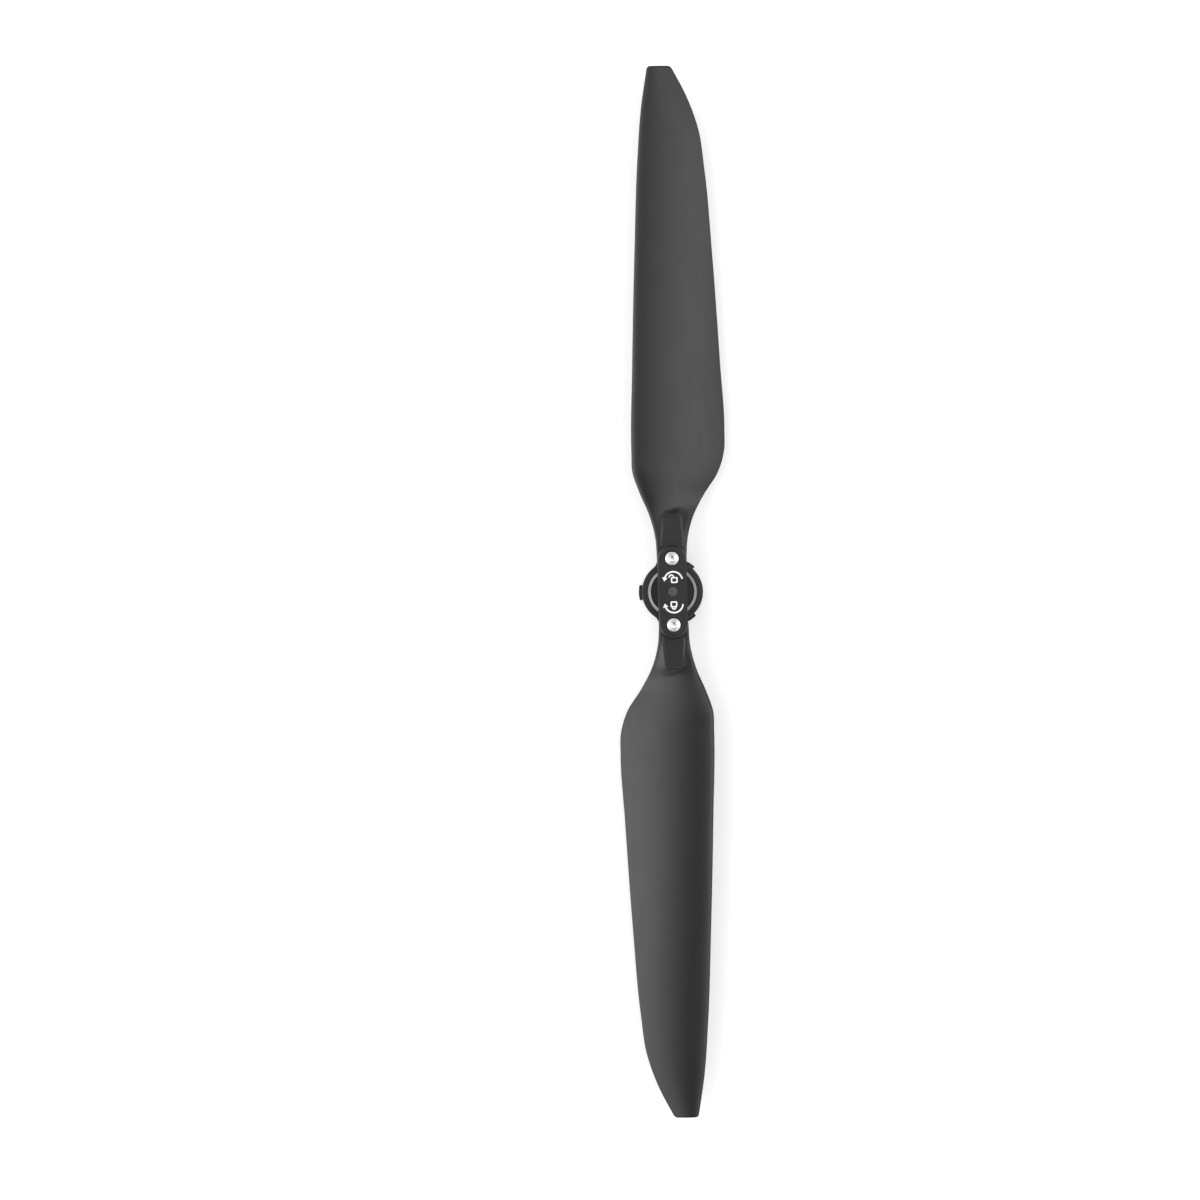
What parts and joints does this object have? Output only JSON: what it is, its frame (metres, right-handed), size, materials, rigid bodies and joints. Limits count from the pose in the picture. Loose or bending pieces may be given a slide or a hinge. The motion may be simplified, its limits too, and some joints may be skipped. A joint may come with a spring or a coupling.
{
  "type": "folding drone propeller",
  "caption": "Folding propeller with twin hinged blades clamped between a quick-release bayonet hub and a top plate.",
  "frame": {"origin": "on the spin axis at the face of the bayonet disc that seats on the motor", "axes": "+Z along the spin axis away from the motor, +Y along blade A with both blades straight out; seen from above the propeller turns counter-clockwise"},
  "size_m": [0.03, 0.2794, 0.011],
  "materials": {
    "hub_plastic": "moulded satin black, glass-filled",
    "ring_plastic": "matt light grey",
    "insert_metal": "bead-blasted",
    "plate_plastic": "fine spark-eroded grain",
    "white_ink": "pad-printed white",
    "blade_plastic": "matt dark grey glass-filled nylon",
    "sleeve_steel": "ground",
    "washer_plastic": "smooth black acetal",
    "screw_steel": "bright turned",
    "insert_brass": "turned brass"
  },
  "bodies": {
    "hub": {"hub_base": "hub_plastic", "marker_ring": "ring_plastic", "centre_insert": "insert_metal", "top_plate": "plate_plastic", "unlock_mark": "white_ink", "lock_mark": "white_ink", "pivot_sleeve_a": "sleeve_steel", "pivot_sleeve_b": "sleeve_steel", "lower_washer_a": "washer_plastic", "lower_washer_b": "washer_plastic", "upper_washer_a": "washer_plastic", "upper_washer_b": "washer_plastic", "pivot_screw_a": "screw_steel", "pivot_screw_b": "screw_steel", "threaded_insert_a": "insert_brass", "threaded_insert_b": "insert_brass"},
    "blade_a": {"blade_a": "blade_plastic"},
    "blade_b": {"blade_b": "blade_plastic"}
  },
  "joints": [
    {"name": "blade_a_fold", "type": "hinge", "parent": "hub", "child": "blade_a", "pos_m": [0, 0.0088, 0.00715], "axis": [0, 0, 1], "range_deg": [-90, 90]},
    {"name": "blade_b_fold", "type": "hinge", "parent": "hub", "child": "blade_b", "pos_m": [0, -0.0088, 0.00715], "axis": [0, 0, 1], "range_deg": [-90, 90]}
  ]
}
